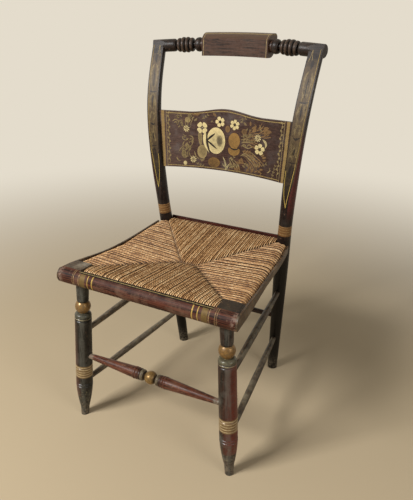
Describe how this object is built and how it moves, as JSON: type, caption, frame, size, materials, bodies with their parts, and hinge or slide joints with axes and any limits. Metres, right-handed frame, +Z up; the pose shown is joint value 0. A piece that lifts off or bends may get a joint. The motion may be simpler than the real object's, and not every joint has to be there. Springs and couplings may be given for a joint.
{
  "type": "painted side chair",
  "caption": "Painted side chair with turned front legs, bent back posts, a turned crest rail, a shaped back slat and a woven rush seat.",
  "frame": {"origin": "on the floor, in the middle of the chair's overall width and depth", "axes": "+Z up, the chair faces -Y (a sitter looks towards -Y), +X to the sitter's left hand, which is the right of the chair seen from in front"},
  "size_m": [0.4468, 0.4773, 0.8986],
  "materials": {
    "painted_ground": "black-brown painted graining with gold lines and bronze stencils, worn satin varnish",
    "painted_roll": "red-brown painted graining, worn satin varnish",
    "rush": "twisted rush, dry and slightly glossy with age",
    "stuffing": "loose rush, matt",
    "bare_wood": "bare turned hardwood",
    "iron": "small iron brads, dull"
  },
  "bodies": {
    "root": {"front_leg_left": "painted_ground", "front_leg_right": "painted_ground", "rear_post_left": "painted_ground", "rear_post_right": "painted_ground", "corner_block_left": "painted_ground", "corner_block_right": "painted_ground", "front_roll": "painted_roll", "side_strip_left": "painted_ground", "side_strip_right": "painted_ground", "rear_strip": "painted_ground", "upper_side_stretcher_left": "painted_ground", "upper_side_stretcher_right": "painted_ground", "lower_side_stretcher_left": "painted_ground", "lower_side_stretcher_right": "painted_ground", "front_stretcher": "painted_roll", "rear_stretcher": "painted_ground", "crest_rail": "painted_ground", "back_slat": "painted_ground", "rush_seat": "rush", "seat_stuffing": "stuffing", "front_list": "bare_wood", "rear_list": "bare_wood", "side_list_left": "bare_wood", "side_list_right": "bare_wood", "slat_pins": "bare_wood", "crest_pins": "bare_wood", "roll_dowels": "bare_wood", "casing_brads": "iron"}
  },
  "joints": []
}
